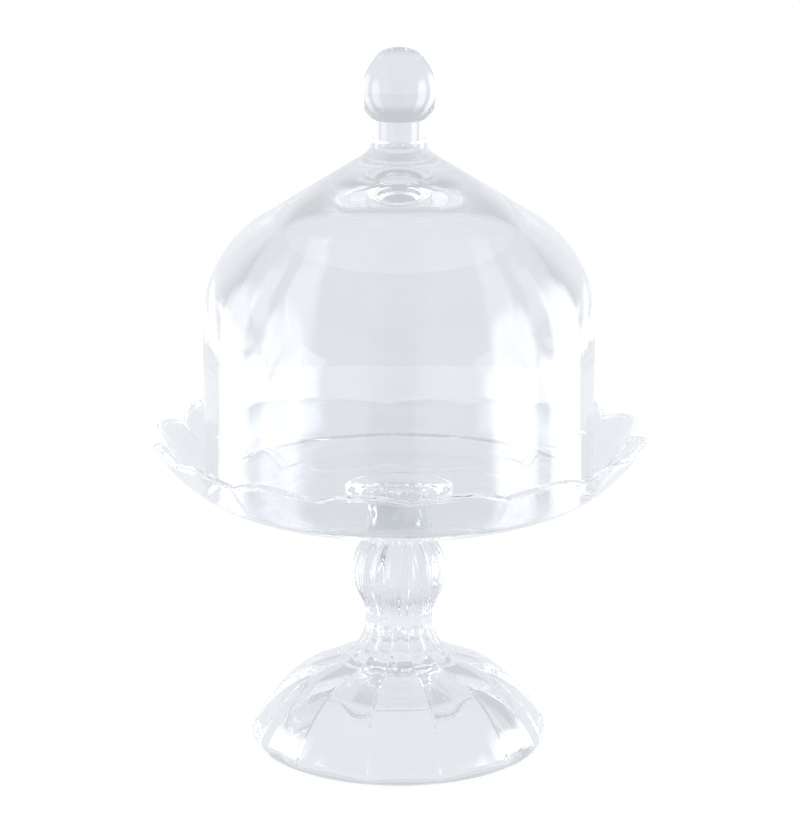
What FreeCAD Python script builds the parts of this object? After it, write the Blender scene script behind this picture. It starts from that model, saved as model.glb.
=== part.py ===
import FreeCAD, Part

import math
import os

import Sketcher

# A pressed-glass cake stand with a clear glass cover, in millimetres, +Z up.
# The origin is the centre of the foot's base ring, on the surface that the stand rests on.
# Two loose pieces: the stand (foot, stem and plate, fused together) and the cover (dome and ball knob).

SIZES = {
    # foot: a hollow bell of broad lobes under a flared neck
    "foot_ring_radius": 46.3,
    "foot_ring_width": 3.0,
    "foot_lip_radius": 49.2,
    "foot_lip_height": 5.4,
    "foot_lip_curve": 4.6,
    "foot_bell_curve": 42.0,
    "foot_flare_curve": 14.8,
    "foot_height": 43.0,
    "foot_cavity_height": 23.5,
    "foot_cavity_shoulder": 28.0,
    "foot_cavity_side": 18.0,
    "foot_cavity_side_curve": 32.0,
    "foot_cavity_top_curve": 90.0,
    "foot_lobes": 12,
    "foot_groove_radius": 3.4,
    "foot_groove_depth": 0.7,
    "foot_turn": 17.0,
    # stem: a fluted bulb between two waists, with a pad on top that carries the plate
    "stem_waist_radius": 11.3,
    "stem_waist_curve": 17.0,
    "stem_bulb_radius": 15.7,
    "stem_bulb_height": 17.3,
    "stem_neck_radius": 10.8,
    "stem_neck_height": 30.1,
    "stem_neck_curve": 5.0,
    "stem_pad_radius": 18.0,
    "stem_pad_edge": 1.4,
    "stem_height": 40.6,
    "stem_flutes": 16,
    "stem_flute_depth": 0.9,
    "stem_turn": 3.75,
    # plate: a flat floor inside a curved, scalloped wall
    "plate_radius": 82.5,
    "plate_depth": 23.8,
    "plate_floor": 6.4,
    "plate_flat_radius": 44.0,
    "plate_rim_width": 2.4,
    "plate_inner_curve": 62.0,
    "plate_trim": 0.6,
    "plate_scallops": 16,
    "plate_cusp_inset": 3.3,
    "plate_cusp_drop": 3.4,
    "plate_lobe_flat": 1.2,
    "plate_crease_radius": 2.4,
    "plate_crease_depth": 0.7,
    "plate_crease_angle": 78.0,
    "plate_turn": 3.0,
    # cover: a thick-topped dome that stands on the plate's floor, and its ball knob
    "cover_radius": 64.3,
    "cover_wall": 4.0,
    "cover_lip_round": 1.4,
    "cover_seat_gap": 0.8,
    "cover_skirt_height": 54.9,
    "cover_shoulder_curve": 39.7,
    "cover_slope": 31.7,
    "cover_flare_curve": 7.6,
    "cover_neck_radius": 8.6,
    "cover_height": 121.2,
    "cavity_height": 96.5,
    "dimple_radius": 7.6,
    "dimple_height": 3.2,
    "knob_radius": 13.2,
}

# How far a cutter runs past what it cuts
CLEAR = 4.0


class Size:
    """A length: its number, and the expression that ties it to the sheet."""

    def __init__(self, value, text):
        self.value = value
        self.text = text

    def __add__(self, other):
        other = as_size(other)
        return Size(self.value + other.value, f"({self.text} + {other.text})")

    def __sub__(self, other):
        other = as_size(other)
        return Size(self.value - other.value, f"({self.text} - {other.text})")

    def __mul__(self, other):
        other = as_size(other)
        return Size(self.value * other.value, f"({self.text} * {other.text})")

    def __truediv__(self, other):
        other = as_size(other)
        return Size(self.value / other.value, f"({self.text} / {other.text})")

    def root(self):
        """The square root."""
        return Size(math.sqrt(self.value), f"sqrt({self.text})")


def as_size(item):
    """A plain number as a Size."""
    return item if isinstance(item, Size) else Size(float(item), f"{float(item):.9f}")


def number(item):
    return item.value if isinstance(item, Size) else item


ZERO = as_size(0.0)

doc = FreeCAD.newDocument("CakeStand")
sheet = doc.addObject("Spreadsheet::Sheet", "Sizes")
for row, (alias, amount) in enumerate(SIZES.items(), start=1):
    sheet.set(f"A{row}", alias)
    sheet.set(f"B{row}", str(amount))
    sheet.setAlias(f"B{row}", alias)
doc.recompute()


def size(alias):
    """A named driving dimension."""
    return Size(float(sheet.get(alias)), f"Sizes.{alias}")


def count(alias):
    """A named whole number."""
    return int(sheet.get(alias))


# Levels that the pieces share
foot_top = size("foot_height")
plate_under = foot_top + size("stem_height")
plate_top = plate_under + size("plate_floor")
rim_top = plate_under + size("plate_depth")
cover_top = plate_top + size("cover_height")


class Bend:
    """An arc between two corners. Side +1 turns left on the way, -1 turns right. Its radius, or one
    place of its centre, is a named size; the radius given is then only where the solver starts."""

    def __init__(self, side, radius, centre_x=None, centre_z=None, held=True):
        self.side = side
        self.radius = radius
        self.centre = (centre_x, centre_z)
        self.held = held

    def shape(self, start, end):
        """The arc from start to end."""
        a = FreeCAD.Vector(number(start[0]), number(start[1]), 0)
        b = FreeCAD.Vector(number(end[0]), number(end[1]), 0)
        along = b - a
        left = FreeCAD.Vector(-along.y, along.x, 0).normalize()
        radius = number(self.radius)
        rise = math.sqrt(max(radius**2 - (along.Length / 2) ** 2, 0.0))
        middle = (a + b) * 0.5 + left * (self.side * (rise - radius))
        return Part.Arc(a, middle, b)


def new_body(label, turn=None):
    """A body, turned about +Z by a named angle if it has one."""
    body = doc.addObject("PartDesign::Body", label)
    body.Label = label
    if turn is not None:
        body.Placement.Rotation = FreeCAD.Rotation(FreeCAD.Vector(0, 0, 1), turn.value)
        body.setExpression("Placement.Rotation.Angle", f"{turn.text} * 1 deg")
    return body


def plane_of(body, role):
    """One of the body's own origin planes or axes."""
    return next(item for item in body.Origin.OriginFeatures if item.Role == role)


def new_sketch(body, name, role, lift=ZERO):
    """A sketch on one of the body's own origin planes, moved along the plane's normal."""
    sketch = body.newObject("Sketcher::SketchObject", name)
    sketch.AttachmentSupport = [(plane_of(body, role), "")]
    sketch.MapMode = "FlatFace"
    sketch.setExpression("AttachmentOffset.Base.z", lift.text)
    return sketch


def bind(sketch, kind, *terms):
    """A constraint whose last term is a Size, tied to the sheet."""
    length = terms[-1]
    index = sketch.addConstraint(Sketcher.Constraint(kind, *terms[:-1], length.value))
    sketch.setExpression(f"Constraints[{index}]", length.text)


def fix_point(sketch, edge, end, place):
    """Holds a point of an edge at its named place. A plain number is left to the solver."""
    for kind, axis, length in (("DistanceX", -2, place[0]), ("DistanceY", -1, place[1])):
        if not isinstance(length, Size):
            continue
        if length.value == 0.0:
            sketch.addConstraint(Sketcher.Constraint("PointOnObject", edge, end, axis))
        else:
            bind(sketch, kind, -1, 1, edge, end, length)


def chain(sketch, corners, bends, closed=True, smooth=()):
    """Lines, and arcs where a bend is given, through the corners in turn. Corners listed in
    smooth are tangent joints. Returns each edge with its first and last end."""
    total = len(corners) if closed else len(corners) - 1
    edges = []
    for index in range(total):
        start = corners[index]
        end = corners[(index + 1) % len(corners)]
        bend = bends.get(index)
        if bend is None:
            a = FreeCAD.Vector(number(start[0]), number(start[1]), 0)
            b = FreeCAD.Vector(number(end[0]), number(end[1]), 0)
            edges.append((sketch.addGeometry(Part.LineSegment(a, b), False), 1, 2))
            continue
        edge = sketch.addGeometry(bend.shape(start, end), False)
        # a sketch's arcs run anticlockwise, so one that turns right is held the other way round
        edges.append((edge, 1, 2) if bend.side > 0 else (edge, 2, 1))
        if bend.held:
            bind(sketch, "Radius", edge, bend.radius)
        fix_point(sketch, edge, 3, bend.centre)
    for index in range(0 if closed else 1, total):
        before = edges[index - 1]
        after = edges[index]
        kind = "Tangent" if index in smooth else "Coincident"
        sketch.addConstraint(Sketcher.Constraint(kind, before[0], before[2], after[0], after[1]))
    for index in range(total):
        fix_point(sketch, edges[index][0], edges[index][1], corners[index])
    if not closed:
        fix_point(sketch, edges[-1][0], edges[-1][2], corners[-1])
    return edges


def add_circle(sketch, centre, radius):
    middle = FreeCAD.Vector(number(centre[0]), number(centre[1]), 0)
    edge = sketch.addGeometry(Part.Circle(middle, FreeCAD.Vector(0, 0, 1), radius.value), False)
    bind(sketch, "Radius", edge, radius)
    fix_point(sketch, edge, 3, centre)


def revolve(body, sketch, name):
    turned = body.newObject("PartDesign::Revolution", name)
    turned.Profile = sketch
    turned.ReferenceAxis = (sketch, ["V_Axis"])
    turned.Angle = 360.0
    doc.recompute()


def sweep_groove(body, name, path, section):
    """A groove cut by carrying the section along the path."""
    cut = body.newObject("PartDesign::SubtractivePipe", name)
    cut.Profile = section
    cut.Spine = (path, [])
    doc.recompute()
    return cut


def repeat(body, feature, name, alias):
    """Repeats a feature evenly about +Z."""
    ring = body.newObject("PartDesign::PolarPattern", name)
    ring.Originals = [feature]
    ring.Axis = (plane_of(body, "Z_Axis"), [""])
    ring.Angle = 360.0
    ring.setExpression("Occurrences", f"Sizes.{alias}")
    body.Tip = ring
    doc.recompute()


def meeting(first, first_radius, second, second_radius):
    """Where two circles that touch from outside meet."""
    share = first_radius / (first_radius + second_radius)
    return tuple(a + (b - a) * share for a, b in zip(first, second))


def arc_radius(out, up):
    """The radius of an arc that starts straight along one way and ends this far out and up."""
    return (out * out + up * up) / (out * 2)


def build_foot():
    """The foot: a bell of broad lobes on a flat base ring, hollow underneath, with a flared neck."""
    body = new_body("foot", size("foot_turn"))
    waist = size("stem_waist_radius")
    flare = size("foot_flare_curve")
    bell = size("foot_bell_curve")
    ring = size("foot_ring_radius")
    lip = (size("foot_lip_radius"), size("foot_lip_height"))

    # the bell's centre lies where its arc passes the lip and touches the flare
    flare_centre = (waist.value + flare.value, foot_top.value)
    away = (flare_centre[0] - lip[0].value, flare_centre[1] - lip[1].value)
    gap = math.hypot(*away)
    reach = bell.value + flare.value
    turn = math.acos((gap**2 + bell.value**2 - reach**2) / (2 * gap * bell.value))
    heading = math.atan2(away[1], away[0]) + turn
    bell_centre = (
        lip[0].value + bell.value * math.cos(heading),
        lip[1].value + bell.value * math.sin(heading),
    )
    meet = meeting(bell_centre, bell.value, flare_centre, flare.value)
    bell_bend = Bend(1, bell)
    flare_bend = Bend(-1, flare, centre_z=foot_top)

    outline = new_sketch(body, "foot_outline", "XZ_Plane")
    corners = [
        (ring - size("foot_ring_width"), ZERO),
        (ring, ZERO),
        lip,
        meet,
        (waist, foot_top),
        (ZERO, foot_top),
        (ZERO, size("foot_cavity_height")),
        (size("foot_cavity_shoulder"), size("foot_cavity_side")),
    ]
    bends = {
        1: Bend(1, size("foot_lip_curve")),
        2: bell_bend,
        3: flare_bend,
        6: Bend(-1, size("foot_cavity_top_curve")),
        7: Bend(-1, size("foot_cavity_side_curve")),
    }
    chain(outline, corners, bends, smooth=(3,))
    revolve(body, outline, "foot_bell")

    path = new_sketch(body, "foot_groove_path", "XZ_Plane")
    chain(path, [lip, meet, (waist, foot_top)], {0: bell_bend, 1: flare_bend}, closed=False, smooth=(1,))
    section = new_sketch(body, "foot_groove_section", "XY_Plane", lift=foot_top)
    radius = size("foot_groove_radius")
    add_circle(section, (waist + radius - size("foot_groove_depth"), ZERO), radius)
    repeat(body, sweep_groove(body, "foot_groove", path, section), "foot_lobes", "foot_lobes")
    return body


def lobed_loop(sketch, lobes, crest, valley):
    """A closed loop of equal outward arcs that meet in valleys, the first valley on the X axis."""
    step = 2 * math.pi / lobes
    half = valley.value * math.sin(step / 2)
    bulge = crest.value - valley.value * math.cos(step / 2)
    lobe = Bend(1, arc_radius(bulge, half), held=False)
    corners = [(valley * math.cos(step * index), valley * math.sin(step * index)) for index in range(lobes)]
    corners[0] = (valley, ZERO)
    edges = chain(sketch, corners, {index: lobe for index in range(lobes)})
    top = FreeCAD.Vector(crest.value * math.cos(step / 2), crest.value * math.sin(step / 2), 0)
    point = sketch.addGeometry(Part.Point(top), True)
    fix_point(sketch, point, 1, (crest * math.cos(step / 2), crest * math.sin(step / 2)))
    sketch.addConstraint(Sketcher.Constraint("PointOnObject", point, 1, edges[0][0]))
    for edge in edges[1:]:
        sketch.addConstraint(Sketcher.Constraint("Equal", edges[0][0], edge[0]))


def build_stem():
    """The stem: a solid fluted bulb, with a round pad on top that carries the plate."""
    body = new_body("stem", size("stem_turn"))
    waist = size("stem_waist_radius")
    belly = size("stem_bulb_radius")
    neck = size("stem_neck_radius")
    waist_curve = size("stem_waist_curve")
    neck_curve = size("stem_neck_curve")
    low_rise = size("stem_bulb_height")
    high_rise = size("stem_neck_height") - low_rise
    low_curve = arc_radius(belly - waist, low_rise) - waist_curve
    high_curve = arc_radius(belly - neck, high_rise) - neck_curve
    low_share = waist_curve / (waist_curve + low_curve)
    high_share = neck_curve / (neck_curve + high_curve)

    def hollow(start, curve, up):
        """The radius on a waist's inward arc, this far from its narrowest place."""
        return start + curve - (curve * curve - up * up).root()

    def swell(curve, up):
        """The radius on the bulb's outward arc, this far from its widest place."""
        return belly - curve + (curve * curve - up * up).root()

    # each section's height above the waist, and its radius there
    low_turn = low_rise * low_share
    high_turn = high_rise * high_share
    stations = [(ZERO, waist), (low_turn * 0.5, hollow(waist, waist_curve, low_turn * 0.5))]
    for share in (1.0, 2 / 3, 1 / 3, 0.0):
        up = (low_rise - low_turn) * share
        stations.append((low_rise - up, swell(low_curve, up)))
    for share in (1 / 3, 2 / 3, 1.0):
        up = (high_rise - high_turn) * share
        stations.append((low_rise + up, swell(high_curve, up)))
    stations.append((low_rise + high_rise, neck))
    loops = []
    for index, (up, radius) in enumerate(stations):
        loop = new_sketch(body, f"stem_section_{index}", "XY_Plane", lift=foot_top + up)
        lobed_loop(loop, count("stem_flutes"), radius, radius - size("stem_flute_depth"))
        loops.append(loop)
    bulb = body.newObject("PartDesign::AdditiveLoft", "stem_bulb")
    bulb.Profile = loops[0]
    bulb.Sections = loops[1:]
    doc.recompute()

    neck_level = foot_top + size("stem_neck_height")
    pad = (size("stem_pad_radius"), plate_under - size("stem_pad_edge"))
    base = neck - size("stem_flute_depth")
    flare = arc_radius(pad[0] - base, pad[1] - neck_level)
    outline = new_sketch(body, "stem_pad_outline", "XZ_Plane")
    corners = [
        (ZERO, neck_level),
        (base, neck_level),
        pad,
        (pad[0], plate_under),
        (ZERO, plate_under),
    ]
    chain(outline, corners, {1: Bend(-1, flare)})
    revolve(body, outline, "stem_pad")
    return body


def build_plate():
    """The plate: a flat floor inside a curved wall whose rim rises and falls in scallops."""
    body = new_body("plate", size("plate_turn"))
    flat = size("plate_flat_radius")
    brim = size("plate_radius") + size("plate_trim")
    seat = size("cover_radius") + size("cover_seat_gap")
    wall = arc_radius(size("plate_depth"), brim - flat)

    outline = new_sketch(body, "plate_outline", "XZ_Plane")
    corners = [
        (ZERO, plate_under),
        (flat, plate_under),
        (brim, rim_top),
        (brim - size("plate_rim_width"), rim_top),
        (seat, plate_top),
        (ZERO, plate_top),
    ]
    chain(outline, corners, {1: Bend(1, wall), 3: Bend(-1, size("plate_inner_curve"))})
    revolve(body, outline, "plate_bowl")

    # the rim in plan: lobes that meet in cusps, left when a ring around them is cut away
    scallops = count("plate_scallops")
    cusp = size("plate_radius") - size("plate_cusp_inset")
    plan = new_sketch(body, "plate_lobe_plan", "XY_Plane", lift=rim_top)
    add_circle(plan, (ZERO, ZERO), brim + CLEAR)
    lobed_loop(plan, scallops, size("plate_radius"), cusp)
    trim = body.newObject("PartDesign::Pocket", "plate_lobes")
    trim.Profile = plan
    trim.setExpression("Length", f"({size('plate_depth').text}) * 1 mm")
    doc.recompute()

    # the rim from the side: a dip at each cusp, cut outward from the plate's middle
    reach = size("plate_radius") * math.sin(math.pi / scallops) - size("plate_lobe_flat") * 0.5
    low = rim_top - size("plate_cusp_drop")
    dip_curve = arc_radius(size("plate_cusp_drop"), reach)
    dip = new_sketch(body, "plate_dip_outline", "YZ_Plane")
    corners = [
        (ZERO, low),
        (reach, rim_top),
        (reach, rim_top + CLEAR),
        (ZERO - reach, rim_top + CLEAR),
        (ZERO - reach, rim_top),
    ]
    chain(dip, corners, {0: Bend(-1, dip_curve), 4: Bend(-1, dip_curve)})
    notch = body.newObject("PartDesign::Pocket", "plate_dip")
    notch.Profile = dip
    notch.Reversed = True
    notch.setExpression("Length", f"({(brim + CLEAR).text}) * 1 mm")
    doc.recompute()
    repeat(body, notch, "plate_dips", "plate_scallops")

    # a crease runs down the outside of the wall from each cusp
    crease = size("plate_crease_radius")
    section = new_sketch(body, "plate_crease_section", "XY_Plane", lift=plate_under + wall)
    add_circle(section, (flat + wall + crease - size("plate_crease_depth"), ZERO), crease)
    hinge = section.addGeometry(
        Part.LineSegment(FreeCAD.Vector(flat.value, -CLEAR, 0), FreeCAD.Vector(flat.value, CLEAR, 0)), True
    )
    fix_point(section, hinge, 1, (flat, ZERO - CLEAR))
    fix_point(section, hinge, 2, (flat, as_size(CLEAR)))
    groove = body.newObject("PartDesign::Groove", "plate_crease")
    groove.Profile = section
    groove.ReferenceAxis = (section, ["Axis0"])
    groove.setExpression("Angle", "Sizes.plate_crease_angle * 1 deg")
    groove.Reversed = True
    doc.recompute()
    repeat(body, groove, "plate_creases", "plate_scallops")
    return body


def build_dome():
    """The dome: a straight skirt, a round shoulder and a cone up to a short solid neck. The
    hollow inside ends in half a ball, so the shoulder is thick, with a dimple at its top."""
    body = new_body("dome")
    radius = size("cover_radius")
    skirt = plate_top + size("cover_skirt_height")
    shoulder = size("cover_shoulder_curve")
    slope = size("cover_slope")
    flare = size("cover_flare_curve")
    neck = size("cover_neck_radius")
    tilt = math.radians(slope.value)

    # starting places: where the shoulder hands over to the cone, and the cone to the flare
    cone_foot = (
        radius.value - shoulder.value * (1 - math.sin(tilt)),
        skirt.value + shoulder.value * math.cos(tilt),
    )
    cone_head_x = neck.value + flare.value * (1 - math.sin(tilt))
    cone_head = (cone_head_x, cone_foot[1] + (cone_foot[0] - cone_head_x) * math.tan(tilt))
    flare_top = (neck, cone_head[1] + flare.value * math.cos(tilt))

    inner = radius - size("cover_wall")
    lip = size("cover_lip_round")
    hollow = plate_top + size("cavity_height") - inner
    dimple = size("dimple_radius")
    rise = size("dimple_height")
    ceiling = hollow + (inner * inner - dimple * dimple).root()
    dimple_curve = arc_radius(rise, dimple).value

    outline = new_sketch(body, "dome_outline", "XZ_Plane")
    corners = [
        (inner, plate_top + lip),
        (inner + lip, plate_top),
        (radius - lip, plate_top),
        (radius, plate_top + lip),
        (radius, skirt),
        cone_foot,
        cone_head,
        flare_top,
        (neck, cover_top),
        (ZERO, cover_top),
        (ZERO, ceiling + rise),
        (dimple, ceiling.value),
        (inner.value, hollow),
    ]
    bends = {
        0: Bend(1, lip),
        2: Bend(1, lip),
        4: Bend(1, shoulder),
        6: Bend(-1, flare),
        10: Bend(-1, dimple_curve, centre_x=ZERO, held=False),
        11: Bend(-1, inner, centre_x=ZERO, centre_z=hollow),
    }
    edges = chain(outline, corners, bends, smooth=(4, 5, 6, 7))
    cone = outline.addConstraint(Sketcher.Constraint("Angle", edges[5][0], math.pi - tilt))
    outline.setExpression(f"Constraints[{cone}]", "180 deg - Sizes.cover_slope * 1 deg")
    revolve(body, outline, "dome_shell")
    return body


def build_knob():
    """The knob: a solid ball with a small flat where it is fused to the dome's neck."""
    body = new_body("knob")
    ball = size("knob_radius")
    neck = size("cover_neck_radius")
    middle = cover_top.value + math.sqrt(ball.value**2 - neck.value**2)
    outline = new_sketch(body, "knob_outline", "XZ_Plane")
    corners = [(ZERO, cover_top), (neck, cover_top), (ZERO, middle + ball.value)]
    chain(outline, corners, {1: Bend(1, ball, centre_x=ZERO)})
    revolve(body, outline, "knob_ball")
    return body


bodies = [build_foot(), build_stem(), build_plate(), build_dome(), build_knob()]
doc.recompute()

for item in doc.Objects:
    if "Invalid" in item.State or "Error" in item.State or "Touched" in item.State:
        raise RuntimeError(f"{item.Name} did not build: {item.State}")
    if item.isDerivedFrom("PartDesign::FeatureSubtractive"):
        removed = item.BaseFeature.Shape.Volume - item.Shape.Volume
        if removed <= 0.0:
            raise RuntimeError(f"{item.Name} cuts nothing")
for body in bodies:
    if body.Shape.isNull() or not body.Shape.isValid() or len(body.Shape.Solids) != 1:
        raise RuntimeError(f"{body.Label} is not one valid solid")

os.makedirs("parts", exist_ok=True)
for body in bodies:
    body.Shape.exportStep(f"parts/{body.Label}.step")
    print(body.Label, round(body.Shape.Volume), "mm3")
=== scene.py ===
import math

import bpy
import numpy as np
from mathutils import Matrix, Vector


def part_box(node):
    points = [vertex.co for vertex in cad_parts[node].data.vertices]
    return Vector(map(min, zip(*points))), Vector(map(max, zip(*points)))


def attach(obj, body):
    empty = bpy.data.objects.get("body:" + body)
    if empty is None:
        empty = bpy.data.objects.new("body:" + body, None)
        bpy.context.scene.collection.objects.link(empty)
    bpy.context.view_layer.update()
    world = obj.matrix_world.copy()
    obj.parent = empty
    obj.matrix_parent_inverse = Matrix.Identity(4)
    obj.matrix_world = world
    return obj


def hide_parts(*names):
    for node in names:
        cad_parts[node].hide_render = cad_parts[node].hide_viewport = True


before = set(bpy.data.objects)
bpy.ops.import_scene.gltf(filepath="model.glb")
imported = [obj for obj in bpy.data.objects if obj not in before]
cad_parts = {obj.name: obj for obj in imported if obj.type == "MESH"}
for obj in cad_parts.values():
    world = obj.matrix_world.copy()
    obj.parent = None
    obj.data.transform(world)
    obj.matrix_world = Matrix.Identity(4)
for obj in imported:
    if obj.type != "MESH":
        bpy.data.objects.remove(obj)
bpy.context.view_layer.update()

# A clear glass cake stand and its cover. Lengths are millimetres until a mesh or a node is made.
METRE = 1000.0
FULL_TURN = 2 * math.pi


def bottom_mm(node):
    """The height of a node's lowest point."""
    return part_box(node)[0][2] * METRE


def top_mm(node):
    """The height of a node's highest point."""
    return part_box(node)[1][2] * METRE


def reach_mm(node):
    """How far a node reaches from the upright axis."""
    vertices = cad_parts[node].data.vertices
    return METRE * max(math.hypot(v.co.x, v.co.y) for v in vertices)


# where the pieces meet, from the ground up, and how wide they are
WAIST_Z = top_mm("foot")
UNDER_Z = bottom_mm("plate")
FLOOR_Z = bottom_mm("dome")
RIM_Z = top_mm("plate")
NECK_Z = top_mm("dome")
TOP_Z = top_mm("knob")
FOOT_R = reach_mm("foot")
PAD_R = reach_mm("stem")
PLATE_R = reach_mm("plate")
COVER_R = reach_mm("dome")
BALL_R = reach_mm("knob")

# radii about the axis, heights above the ground (_z), radii of curves (_curve), other lengths, and
# turns and slopes in degrees
FOOT = {"ring": 46.3, "ring_width": 3.0, "ring_curve": 0.6, "lip_z": 5.4, "lip_curve": 4.6,
        "bell_curve": 42.0, "flare_curve": 14.8, "waist": 11.3,
        "hollow_z": 23.5, "ceiling": 28.0, "ceiling_z": 18.0, "ceiling_curve": 90.0, "wall_curve": 32.0,
        "lobes": 12, "lobe_depth": 1.5, "turn": 17.0, "lobe_fade": 12.0,
        "crease_depth": 0.35, "crease_share": 0.09}
STEM = {"belly": 15.7, "belly_rise": 17.3, "neck": 10.8, "neck_rise": 30.1, "waist_curve": 17.0,
        "neck_curve": 5.0, "pad_edge": 1.4, "flutes": 16, "turn": 3.75,
        "flute_depth": 0.8, "belly_depth": 1.1, "belly_spread": 14.0, "flute_start": 10.0,
        "flute_end": 4.0, "flute_fade": 8.0}
PLATE = {"flat": 44.0, "rim_width": 2.6, "seat": 65.1, "inner_curve": 62.0, "scallops": 16,
         "inset": 3.3, "inset_bend": 1.6, "drop": 3.4, "drop_bend": 3, "turn": 3.0, "bead": 1.7}
COVER = {"wall": 4.0, "skirt": 54.9, "shoulder_curve": 39.7, "slope": 31.7, "flare_curve": 7.6,
         "neck": 8.6, "hollow": 96.5, "dimple": 7.6, "dimple_rise": 3.2, "lip_curve": 1.4,
         "clearance": 0.02}


# ---------------------------------------------------------------- outlines

def arc(centre, radius, start, end, steps):
    """Points on an arc, its angles in degrees anticlockwise from the outward direction."""
    angles = np.radians(np.linspace(start, end, steps + 1))
    return [(centre[0] + radius * math.cos(a), centre[1] + radius * math.sin(a)) for a in angles]


def line(start, end, steps):
    """Points on a straight run, without its last one."""
    return [tuple(a + (b - a) * i / steps for a, b in zip(start, end)) for i in range(steps)]


def arc_through(start, end, radius, side, steps):
    """Points on the arc of this radius from start to end. Side +1 turns left on the way."""
    (x0, z0), (x1, z1) = start, end
    along = math.hypot(x1 - x0, z1 - z0)
    rise = math.sqrt(max(radius**2 - (along / 2) ** 2, 0.0)) * side
    centre = ((x0 + x1) / 2 - (z1 - z0) / along * rise, (z0 + z1) / 2 + (x1 - x0) / along * rise)
    first = math.degrees(math.atan2(z0 - centre[1], x0 - centre[0]))
    last = math.degrees(math.atan2(z1 - centre[1], x1 - centre[0]))
    if side > 0 and last < first:
        last += 360
    if side < 0 and last > first:
        last -= 360
    return arc(centre, radius, first, last, steps)


def touch(first, first_radius, second, second_radius):
    """Where two circles that touch from outside meet."""
    share = first_radius / (first_radius + second_radius)
    return tuple(a + (b - a) * share for a, b in zip(first, second))


def joined(*runs):
    """One outline from runs of points, without repeated points."""
    points = []
    for run in runs:
        for point in run:
            if not points or math.dist(points[-1], point) > 1e-4:
                points.append(point)
    return points


# ---------------------------------------------------------------- lobes, flutes and scallops

def lobe(angle, lobes, turn):
    """1 on the crest of a lobe, falling to 0 in the sharp valley between two lobes. Valleys lie at
    turn degrees and every lobe on from there."""
    phase = (angle - math.radians(turn)) * lobes / FULL_TURN
    across = 2 * (phase - np.floor(phase)) - 1
    return 1 - across**2


def soft_lobe(angle, lobes, turn):
    """A lobe with softer valleys."""
    phase = (angle - math.radians(turn)) * lobes
    wave = (1 - np.cos(phase)) / 2
    return 0.55 * lobe(angle, lobes, turn) + 0.45 * wave


def flutes(angle):
    """How deep the stem's flutes are at an angle: 0 on a crest and 1 in a valley."""
    return 1 - soft_lobe(angle, STEM["flutes"], STEM["turn"])


# ---------------------------------------------------------------- the pieces

def spin(name, outline, around, shape=None):
    """A mesh skin of an outline turned about the upright axis. The shape may move the points: it
    takes their radii, heights and angles, and gives new radii and heights."""
    points = np.array(outline)
    angles = np.arange(around) * FULL_TURN / around
    radii = np.repeat(points[:, :1], around, axis=1)
    heights = np.repeat(points[:, 1:], around, axis=1)
    turns = np.repeat(angles[None, :], len(points), axis=0)
    if shape:
        radii, heights = shape(radii, heights, turns)
    grid = np.stack([radii * np.cos(turns), radii * np.sin(turns), heights], axis=2)
    vertices = []
    rings = []
    for index, (radius, _) in enumerate(outline):
        if radius < 1e-6:
            rings.append([len(vertices)])
            vertices.append(grid[index].mean(axis=0) / METRE)
        else:
            rings.append(range(len(vertices), len(vertices) + around))
            vertices.extend(grid[index] / METRE)
    faces = []
    for low, high in zip(rings, rings[1:]):
        for j in range(around):
            k = (j + 1) % around
            if len(low) == 1:
                faces.append((low[0], high[k], high[j]))
            elif len(high) == 1:
                faces.append((low[j], low[k], high[0]))
            else:
                faces.append((low[j], low[k], high[k], high[j]))
    mesh = bpy.data.meshes.new(name)
    mesh.from_pydata([tuple(v) for v in vertices], [], faces)
    mesh.shade_smooth()
    made = bpy.data.objects.new(name, mesh)
    bpy.context.scene.collection.objects.link(made)
    return made


def make_foot():
    """The foot: a bell of broad lobes with a crease between them, hollow underneath, open at the
    waist where it is fused on."""
    bell, flare = FOOT["bell_curve"], FOOT["flare_curve"]
    waist = (FOOT["waist"], WAIST_Z)
    lip = (FOOT_R, FOOT["lip_z"])
    flare_centre = (FOOT["waist"] + flare, WAIST_Z)
    away = (flare_centre[0] - lip[0], flare_centre[1] - lip[1])
    gap = math.hypot(*away)
    turn = math.acos((gap**2 + bell**2 - (bell + flare) ** 2) / (2 * gap * bell))
    heading = math.atan2(away[1], away[0]) + turn
    bell_centre = (lip[0] + bell * math.cos(heading), lip[1] + bell * math.sin(heading))
    meet = touch(bell_centre, bell, flare_centre, flare)
    ceiling = (FOOT["ceiling"], FOOT["ceiling_z"])
    curve = FOOT["ring_curve"]
    ring_in = FOOT["ring"] - FOOT["ring_width"]
    inside = joined(
        arc_through((0.0, FOOT["hollow_z"]), ceiling, FOOT["ceiling_curve"], -1, 24),
        arc_through(ceiling, (ring_in, curve), FOOT["wall_curve"], -1, 24),
        arc_through((ring_in, curve), (ring_in + curve, 0.0), curve, 1, 4),
        line((ring_in + curve, 0.0), (FOOT["ring"], 0.0), 4),
    )
    outline = joined(
        inside,
        arc_through((FOOT["ring"], 0.0), lip, FOOT["lip_curve"], 1, 12),
        arc_through(lip, meet, bell, 1, 60),
        arc_through(meet, waist, flare, -1, 40),
    )

    def shape(radii, heights, turns):
        outer = np.zeros_like(radii)
        outer[len(inside):] = 1.0
        rise = np.clip(heights / lip[1], 0, 1) * np.clip((WAIST_Z - heights) / FOOT["lobe_fade"], 0, 1)
        valley = 1 - soft_lobe(turns, FOOT["lobes"], FOOT["turn"])
        crease = lobe(turns, FOOT["lobes"], FOOT["turn"]) < FOOT["crease_share"]
        dip = (FOOT["lobe_depth"] * valley + FOOT["crease_depth"] * crease) * outer * rise
        start = STEM["flute_start"]
        fluted = np.clip((heights - (WAIST_Z - start)) / start, 0, 1) * outer
        return radii - dip - STEM["flute_depth"] * fluted * flutes(turns), heights

    return spin("foot_bell", outline, 768, shape)


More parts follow.
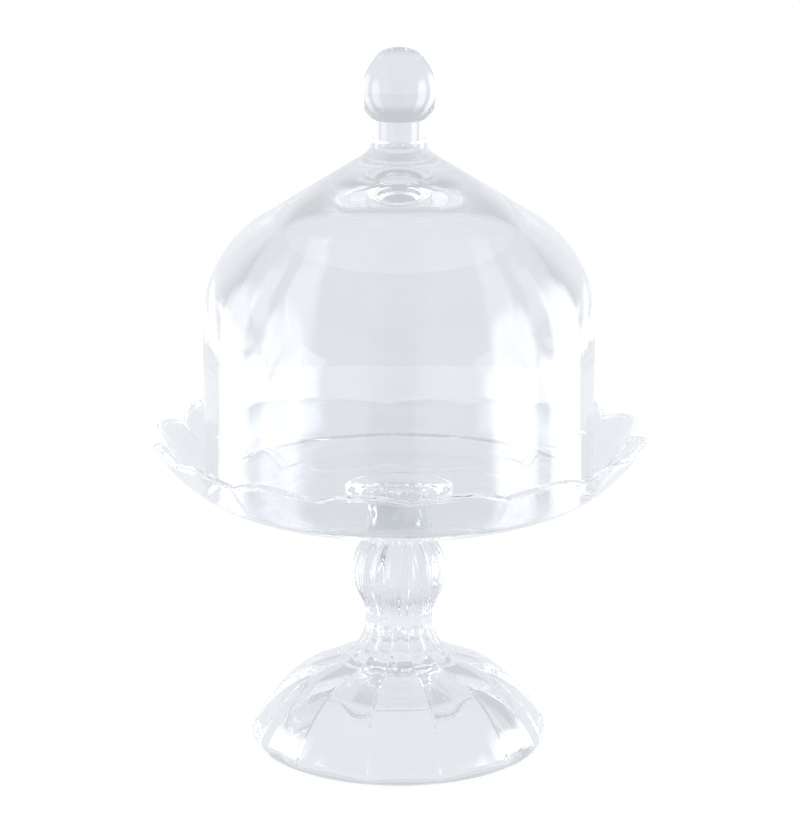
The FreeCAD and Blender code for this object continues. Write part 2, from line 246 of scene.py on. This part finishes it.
def ogee(low, high, waist_end, curve, steps):
    """A double curve, upright at both ends, with this radius at its narrow end."""
    out = abs(high[0] - low[0])
    up = abs(high[1] - low[1])
    other = (out**2 + up**2) / (2 * out) - curve
    bulb_end = high if waist_end is low else low
    waist_centre = (waist_end[0] + curve, waist_end[1])
    bulb_centre = (bulb_end[0] - other, bulb_end[1])
    meet = touch(waist_centre, curve, bulb_centre, other)
    if waist_end is low:
        return joined(arc_through(low, meet, curve, -1, steps), arc_through(meet, high, other, 1, steps))
    return joined(arc_through(low, meet, other, 1, steps), arc_through(meet, high, curve, -1, steps))


def make_stem():
    """The stem: a fluted bulb between two waists, open at both ends where it is fused to the foot
    and the plate."""
    waist = (FOOT["waist"], WAIST_Z)
    belly = (STEM["belly"], WAIST_Z + STEM["belly_rise"])
    neck = (STEM["neck"], WAIST_Z + STEM["neck_rise"])
    pad = (PAD_R, UNDER_Z - STEM["pad_edge"])
    pad_out, pad_up = pad[0] - neck[0], pad[1] - neck[1]
    pad_curve = (pad_out**2 + pad_up**2) / (2 * pad_out)
    outline = joined(
        ogee(waist, belly, waist, STEM["waist_curve"], 16),
        ogee(belly, neck, neck, STEM["neck_curve"], 16),
        arc_through(neck, pad, pad_curve, -1, 16),
        line(pad, (PAD_R, UNDER_Z), 3),
        [(PAD_R, UNDER_Z)],
    )

    def shape(radii, heights, turns):
        near_belly = np.exp(-(((heights - belly[1]) / STEM["belly_spread"]) ** 2))
        fade = np.clip((UNDER_Z - STEM["flute_end"] - heights) / STEM["flute_fade"], 0, 1)
        deeper = (STEM["belly_depth"] - STEM["flute_depth"]) * near_belly
        return radii - (STEM["flute_depth"] + deeper) * fade * flutes(turns), heights

    return spin("stem_bulb", outline, 384, shape)


def make_plate():
    """The plate: its skin runs from the stem's pad under the floor, up the wall, over the rounded
    scalloped rim, down inside and across the floor. The scallops leave the floor round, and a low
    bead outside that is level with it."""
    flat, seat = PLATE["flat"], PLATE["seat"]
    out, depth = PLATE_R - flat, RIM_Z - UNDER_Z
    wall = (out**2 + depth**2) / (2 * depth)
    half_rim = PLATE["rim_width"] / 2
    rim_angle = math.degrees(math.atan2(RIM_Z - half_rim - (UNDER_Z + wall), PLATE_R - flat))
    wall_run = arc((flat, UNDER_Z + wall), wall, -90, rim_angle, 70)
    tip = wall_run[-1]
    rim_run = arc((tip[0] - half_rim, RIM_Z - half_rim), half_rim, -10, 190, 14)
    outline = joined(
        line((PAD_R, UNDER_Z), (flat, UNDER_Z), 30),
        wall_run[:-2],
        rim_run,
        arc_through(rim_run[-1], (seat, FLOOR_Z), PLATE["inner_curve"], -1, 60),
        line((seat, FLOOR_Z), (0.0, FLOOR_Z), 50),
        [(0.0, FLOOR_Z)],
    )

    def shape(radii, heights, turns):
        round_here = (heights > FLOOR_Z - PLATE["bead"]) & (heights < FLOOR_Z + 1e-6)
        up = np.where(round_here, 0.0, np.clip((heights - UNDER_Z) / depth, 0, 1))
        valley = 1 - lobe(turns, PLATE["scallops"], PLATE["turn"])
        inset = PLATE["inset"] * valley * up ** PLATE["inset_bend"]
        drop = PLATE["drop"] * valley * up ** PLATE["drop_bend"]
        return radii - inset, heights - drop

    return spin("plate_bowl", outline, 512, shape)


def make_dome():
    """The dome, open at the neck where the ball is fused on. Its skin runs from the dimple down the
    inside, round the lip, up the outside and along the cone to the top of the neck. The hollow ends
    in half a ball, so the shoulder is thick."""
    tilt = math.radians(COVER["slope"])
    out, up = math.sin(tilt), math.cos(tilt)
    skirt_z = FLOOR_Z + COVER["skirt"]
    lip, flare, shoulder = COVER["lip_curve"], COVER["flare_curve"], COVER["shoulder_curve"]
    inner = COVER_R - COVER["wall"]
    base = FLOOR_Z + COVER["clearance"]
    hollow_z = FLOOR_Z + COVER["hollow"] - inner
    dimple, rise = COVER["dimple"], COVER["dimple_rise"]
    dimple_curve = (dimple**2 + rise**2) / (2 * rise)
    dimple_angle = math.acos(dimple / inner)
    dimple_z = hollow_z + inner * math.sin(dimple_angle)
    centre = (COVER_R - shoulder, skirt_z)
    cone_foot = (centre[0] + shoulder * out, skirt_z + shoulder * up)
    head_x = COVER["neck"] + flare * (1 - out)
    cone_head = (head_x, cone_foot[1] + (cone_foot[0] - head_x) * math.tan(tilt))
    flare_top = (COVER["neck"], cone_head[1] + flare * up)
    outline = joined(
        arc_through((0.0, dimple_z + rise), (dimple, dimple_z), dimple_curve, -1, 24),
        arc((0.0, hollow_z), inner, math.degrees(dimple_angle), 0, 90),
        line((inner, hollow_z), (inner, base + lip), 40),
        arc((inner + lip, base + lip), lip, 180, 270, 8),
        line((inner + lip, base), (COVER_R - lip, base), 2),
        arc((COVER_R - lip, base + lip), lip, -90, 0, 8),
        line((COVER_R, base + lip), (COVER_R, skirt_z), 50),
        arc(centre, shoulder, 0, 90 - COVER["slope"], 48),
        line(cone_foot, cone_head, 40),
        arc_through(cone_head, flare_top, flare, -1, 20),
        line(flare_top, (COVER["neck"], NECK_Z), 8),
        [(COVER["neck"], NECK_Z)],
    )
    return spin("dome_shell", outline, 256)


def make_knob():
    """The ball, open where it is fused to the neck."""
    middle = TOP_Z - BALL_R
    start = math.degrees(math.asin((NECK_Z - middle) / BALL_R))
    outline = arc((0.0, middle), BALL_R, start, 90, 60)
    outline[-1] = (0.0, TOP_Z)
    return spin("ball_knob", outline, 160)


# ---------------------------------------------------------------- shader maths

class Nodes:
    """A material's or world's node tree."""

    def __init__(self, owner):
        owner.use_nodes = True
        self.tree = owner.node_tree
        self.tree.nodes.clear()

    def add(self, kind, settings=None, **values):
        """A node of this type: its settings first, then the values or links of its sockets, in
        whose names an underscore stands for a space."""
        node = self.tree.nodes.new(kind)
        for key, value in (settings or {}).items():
            setattr(node, key, value)
        for key, value in values.items():
            self.feed(node.inputs[key.replace("_", " ")], value)
        return node

    def feed(self, socket, value):
        """A link into a socket, or its plain value."""
        if isinstance(value, Value):
            self.tree.links.new(value.socket, socket)
        elif isinstance(value, bpy.types.NodeSocket):
            self.tree.links.new(value, socket)
        else:
            socket.default_value = value

    def vector(self, operation, first, **values):
        """A Vector Math node on one vector."""
        node = self.add("ShaderNodeVectorMath", {"operation": operation}, **values)
        self.feed(node.inputs[0], first)
        return node

    def blend(self, factor, first, second):
        """A colour that runs from the first, where the factor is 0, to the second."""
        mix = self.add("ShaderNodeMix", {"data_type": "RGBA"}, Factor=factor, A=first, B=second)
        return mix.outputs["Result"]


class Value:
    """A number that varies over the surface. Arithmetic on it adds Math nodes."""

    def __init__(self, nodes, socket):
        self.nodes = nodes
        self.socket = socket

    def math(self, operation, first, second):
        node = self.nodes.add("ShaderNodeMath", {"operation": operation})
        self.nodes.feed(node.inputs[0], first)
        self.nodes.feed(node.inputs[1], second)
        return Value(self.nodes, node.outputs[0])

    def __add__(self, other):
        return self.math("ADD", self, other)

    __radd__ = __add__

    def __sub__(self, other):
        return self.math("SUBTRACT", self, other)

    def __rsub__(self, other):
        return self.math("SUBTRACT", other, self)

    def __mul__(self, other):
        return self.math("MULTIPLY", self, other)

    __rmul__ = __mul__

    def __pow__(self, power):
        return self.math("POWER", self, power)


def parts(nodes, vector):
    """A vector's three values."""
    split = nodes.add("ShaderNodeSeparateXYZ", Vector=vector)
    return [Value(nodes, split.outputs[axis]) for axis in "XYZ"]


def ease(nodes, value, low, high):
    """0 below low and 1 above high, with a soft change between."""
    made = nodes.add("ShaderNodeMapRange", {"interpolation_type": "SMOOTHSTEP"},
                     Value=value, From_Min=low, From_Max=high)
    return Value(nodes, made.outputs["Result"])


def noise(nodes, where, scale, detail, stretch=(1.0, 1.0, 1.0)):
    """Soft random variation, its scale in waves a metre."""
    placed = nodes.vector("MULTIPLY", where)
    placed.inputs[1].default_value = stretch
    made = nodes.add("ShaderNodeTexNoise", Vector=placed.outputs[0], Scale=scale, Detail=detail)
    return Value(nodes, made.outputs["Fac"])


# ---------------------------------------------------------------- the glass

# tints, and scales in waves a metre
PALE = (0.945, 0.95, 0.955, 1.0)
PRESSED_DEEP = (0.92, 0.93, 0.94, 1.0)
BLOWN_DEEP = (0.925, 0.933, 0.942, 1.0)
SOLID_TINT = (0.85, 0.862, 0.88, 1.0)
GLASS_IOR = 1.5
DRIFT_SCALE = 18.0
WAVE_SCALE = 42.0
SMEAR_SCALE = 60.0


def glass(name, deep, ripple, drawn, haze, solid):
    """Clear glass: its colour drifts from pale to deep and is darker where the piece is solid
    through, its skin has long ripples, which a drawn under 1 draws out upwards, and its polish
    varies a little. Solid gives the heights where it starts, is full, fades and ends."""
    material = bpy.data.materials.new(name)
    nodes = Nodes(material)
    where = nodes.add("ShaderNodeTexCoord").outputs["Object"]
    height = parts(nodes, where)[2]
    start, full, fade, end = (z / METRE for z in solid)
    thick = ease(nodes, height, start, full) * (1 - ease(nodes, height, fade, end))
    drift = noise(nodes, where, DRIFT_SCALE, 2.0)
    tint = nodes.blend(thick, nodes.blend(drift, PALE, deep), SOLID_TINT)
    wave = noise(nodes, where, WAVE_SCALE, 1.5, (1.0, 1.0, drawn))
    bump = nodes.add("ShaderNodeBump", Strength=ripple, Distance=0.001, Height=wave)
    smear = noise(nodes, where, SMEAR_SCALE, 3.0)
    skin = nodes.add("ShaderNodeBsdfPrincipled", Base_Color=tint, Roughness=(smear ** 3.0) * haze,
                     IOR=GLASS_IOR, Transmission_Weight=1.0, Normal=bump.outputs[0])
    out = nodes.add("ShaderNodeOutputMaterial")
    nodes.tree.links.new(skin.outputs[0], out.inputs["Surface"])
    return material


stand_glass = glass("pressed_glass", PRESSED_DEEP, ripple=0.10, drawn=1.0, haze=0.05,
                    solid=(WAIST_Z, WAIST_Z + 3.0, UNDER_Z - 6.0, UNDER_Z - 1.0))
cover_glass = glass("blown_glass", BLOWN_DEEP, ripple=0.08, drawn=0.3, haze=0.03,
                    solid=(FLOOR_Z + 98.0, FLOOR_Z + 107.0, TOP_Z + 1.0, TOP_Z + 2.0))

for maker, body, node, material, slot in (
    (make_foot, "stand", "foot", stand_glass, "stand_glass"),
    (make_stem, "stand", "stem", stand_glass, "stand_glass"),
    (make_plate, "stand", "plate", stand_glass, "stand_glass"),
    (make_dome, "cover", "dome", cover_glass, "cover_glass"),
    (make_knob, "cover", "knob", cover_glass, "cover_glass"),
):
    piece = maker()
    piece.data.materials.append(material)
    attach(piece, body)
    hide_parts(node)


# ---------------------------------------------------------------- floor, light and camera

# brightness, where 1 is white: the panels add to the backdrop, and the gap and the ceiling take
# away from it
BACKDROP = 0.88
RIGHT_PANEL = 4.0
LEFT_PANEL = 2.8
GAP_DIM = 0.5
CEILING_DIM = 0.2
# the floor's painted glow, and its own dark grey under it, which keeps real shadows faint
FLOOR_GLOW = 0.9
FLOOR_GREY = (0.18, 0.18, 0.18, 1.0)
COOL_WHITE = (0.975, 0.995, 1.03)
WHITE = (1.0, 1.0, 1.0, 1.0)

# where each edge starts and ends, as parts of a direction of length 1, squared for the split
GAP_BACK_EDGE = (-0.3, 0.1)
GAP_LEFT_EDGE = (-0.32, -0.26)
GAP_RIGHT_EDGE = (0.13, 0.19)
RIGHT_PANEL_EDGE = (0.78, 0.86)
LEFT_PANEL_EDGE = (0.8, 0.88)
PANEL_SPLIT_EDGE = (0.006, 0.03)
PANEL_TOP_EDGE = (0.2, 0.5)
CEILING_EDGE = (0.1, 0.35)

# the floor's sizes, in metres from the middle
FLOOR_REACH = 6.0
FLOOR_DROP = 0.0002
FLOOR_CLEAR_EDGE = (0.14, 0.34)


def studio_light(nodes, across, back, spread):
    """How bright the studio is towards a side. White behind, two tall panels beside each other on
    the left and on the right, and a dim gap on the viewer's side. Spread fades the pattern in."""
    front = 1 - ease(nodes, back, *GAP_BACK_EDGE)
    gap = front * ease(nodes, across, *GAP_LEFT_EDGE) * (1 - ease(nodes, across, *GAP_RIGHT_EDGE))
    beside = ease(nodes, back * back, *PANEL_SPLIT_EDGE)
    right = ease(nodes, across, *RIGHT_PANEL_EDGE) * beside
    left = ease(nodes, 0 - across, *LEFT_PANEL_EDGE) * beside
    return BACKDROP + spread * (right * RIGHT_PANEL + left * LEFT_PANEL - gap * GAP_DIM)


def pale_light(nodes, level):
    """A cool white light of this brightness, pure white where seen directly; on the floor, painted
    light.
    """
    cool = nodes.vector("SCALE", COOL_WHITE, Scale=level)
    seen = nodes.add("ShaderNodeLightPath").outputs["Is Camera Ray"]
    return nodes.blend(seen, cool.outputs[0], WHITE)


def make_floor():
    """A white table that glows with painted light, so that real shadows on it stay faint."""
    mesh = bpy.data.meshes.new("floor")
    corners = [(-1, -1), (1, -1), (1, 1), (-1, 1)]
    points = [(x * FLOOR_REACH, y * FLOOR_REACH, -FLOOR_DROP) for x, y in corners]
    mesh.from_pydata(points, [], [(0, 1, 2, 3)])
    floor = bpy.data.objects.new("floor", mesh)
    bpy.context.scene.collection.objects.link(floor)
    material = bpy.data.materials.new("floor_painted_glow")
    nodes = Nodes(material)
    where = nodes.add("ShaderNodeTexCoord").outputs["Object"]
    distance = Value(nodes, nodes.vector("LENGTH", where).outputs["Value"])
    across, back, _ = parts(nodes, nodes.vector("NORMALIZE", where).outputs[0])
    # painted light: even near the middle, further out brighter towards the panels and dim in the gap
    painted_glow = pale_light(nodes, studio_light(nodes, across, back, ease(nodes, distance, *FLOOR_CLEAR_EDGE)))
    skin = nodes.add("ShaderNodeBsdfPrincipled", Base_Color=FLOOR_GREY, Roughness=1.0,
                     Specular_IOR_Level=0.0, Emission_Color=painted_glow, Emission_Strength=FLOOR_GLOW)
    out = nodes.add("ShaderNodeOutputMaterial")
    nodes.tree.links.new(skin.outputs[0], out.inputs["Surface"])
    mesh.materials.append(material)


def make_sky():
    """The studio round the table, dim overhead."""
    world = bpy.data.worlds.new("studio")
    bpy.context.scene.world = world
    nodes = Nodes(world)
    across, back, up = parts(nodes, nodes.add("ShaderNodeTexCoord").outputs["Generated"])
    panels = studio_light(nodes, across, back, 1 - ease(nodes, up, *PANEL_TOP_EDGE))
    level = panels - ease(nodes, up, *CEILING_EDGE) * CEILING_DIM
    sky = nodes.add("ShaderNodeBackground", Color=pale_light(nodes, level), Strength=1.0)
    out = nodes.add("ShaderNodeOutputWorld")
    nodes.tree.links.new(sky.outputs[0], out.inputs["Surface"])


def make_camera():
    """A long lens, a metre away, that looks down on the plate. Its lengths are metres."""
    distance, height, aim_z, aside = 1.0, 0.362, 0.11145, 0.0003
    camera = bpy.data.cameras.new("camera")
    camera.lens = 134.1
    camera.sensor_width = 36.0
    made = bpy.data.objects.new("camera", camera)
    made.location = (aside, -distance, height)
    made.rotation_euler = (math.pi / 2 - math.atan2(height - aim_z, distance), 0.0, 0.0)
    bpy.context.scene.collection.objects.link(made)
    bpy.context.scene.camera = made


make_floor()
make_sky()
make_camera()

# light is reflected many times inside thick glass before it finds its way out
GLASS_BOUNCES = 128
scene = bpy.context.scene
scene.view_settings.view_transform = "Standard"
scene.cycles.max_bounces = GLASS_BOUNCES
scene.cycles.transmission_bounces = GLASS_BOUNCES
scene.cycles.glossy_bounces = GLASS_BOUNCES
scene.cycles.diffuse_bounces = 4
